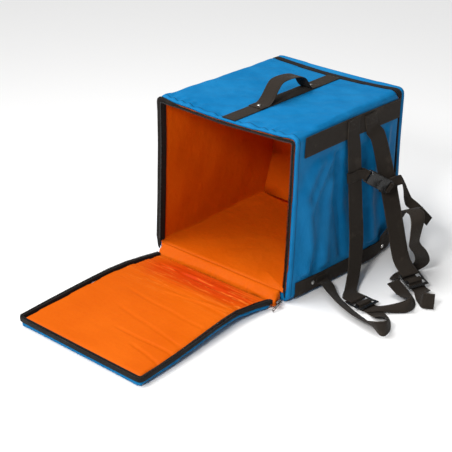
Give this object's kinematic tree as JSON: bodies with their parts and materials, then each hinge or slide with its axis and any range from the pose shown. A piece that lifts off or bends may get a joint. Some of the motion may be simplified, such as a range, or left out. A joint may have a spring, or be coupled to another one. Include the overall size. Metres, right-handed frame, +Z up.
{
  "type": "insulated delivery backpack",
  "caption": "Box-shaped padded backpack standing with its front flap laid open: insulated cavity, top handle, shoulder straps with a buckled chest strap, and a zip whose pull tab swings.",
  "frame": {"origin": "middle of the bag's underside, on the floor", "axes": "+X towards the wearer's side, -Y out of the front opening over the laid flap, +Z up"},
  "size_m": [0.6919, 0.951, 0.4619],
  "materials": {
    "blue_cloth": "coated woven cloth, slightly glossy",
    "orange_lining": "smooth coated lining, fine wrinkles",
    "black_webbing": "woven webbing, matte",
    "black_tape": "zip tape and binding, matte",
    "black_plastic": "moulded, satin",
    "nickel": "polished nickel plate",
    "grey_metal": "die-cast, satin"
  },
  "bodies": {
    "bag": {"band_rivet_front": "nickel", "band_rivet_rear": "nickel", "bottom_band": "black_webbing", "buckle_plug": "black_plastic", "buckle_socket": "black_plastic", "chest_loop_left": "black_webbing", "chest_loop_right": "black_webbing", "chest_tail": "black_webbing", "flap_lining": "orange_lining", "flap_panel": "blue_cloth", "flap_tape": "black_tape", "handle_base": "black_webbing", "handle_loop": "black_webbing", "handle_rivet_front": "nickel", "handle_rivet_rear": "nickel", "hinge_lip": "orange_lining", "ladder_lock_left": "black_plastic", "ladder_lock_right": "black_plastic", "lining": "orange_lining", "lower_strap_left": "black_webbing", "lower_strap_right": "black_webbing", "opening_tape": "black_tape", "rear_lining": "orange_lining", "rear_panel": "blue_cloth", "rear_slider": "grey_metal", "rear_zip_tape": "black_tape", "shell": "blue_cloth", "shoulder_strap_left": "black_webbing", "shoulder_strap_right": "black_webbing", "top_band": "black_webbing", "zip_slider": "grey_metal"},
    "tab": {"pull_tab": "grey_metal"}
  },
  "joints": [
    {"name": "pull_tab_swing", "type": "hinge", "parent": "bag", "child": "tab", "pos_m": [0.20429, -0.25746, 0.0145], "axis": [0, -0.309, 0.9511], "range_deg": [0, 150]}
  ]
}
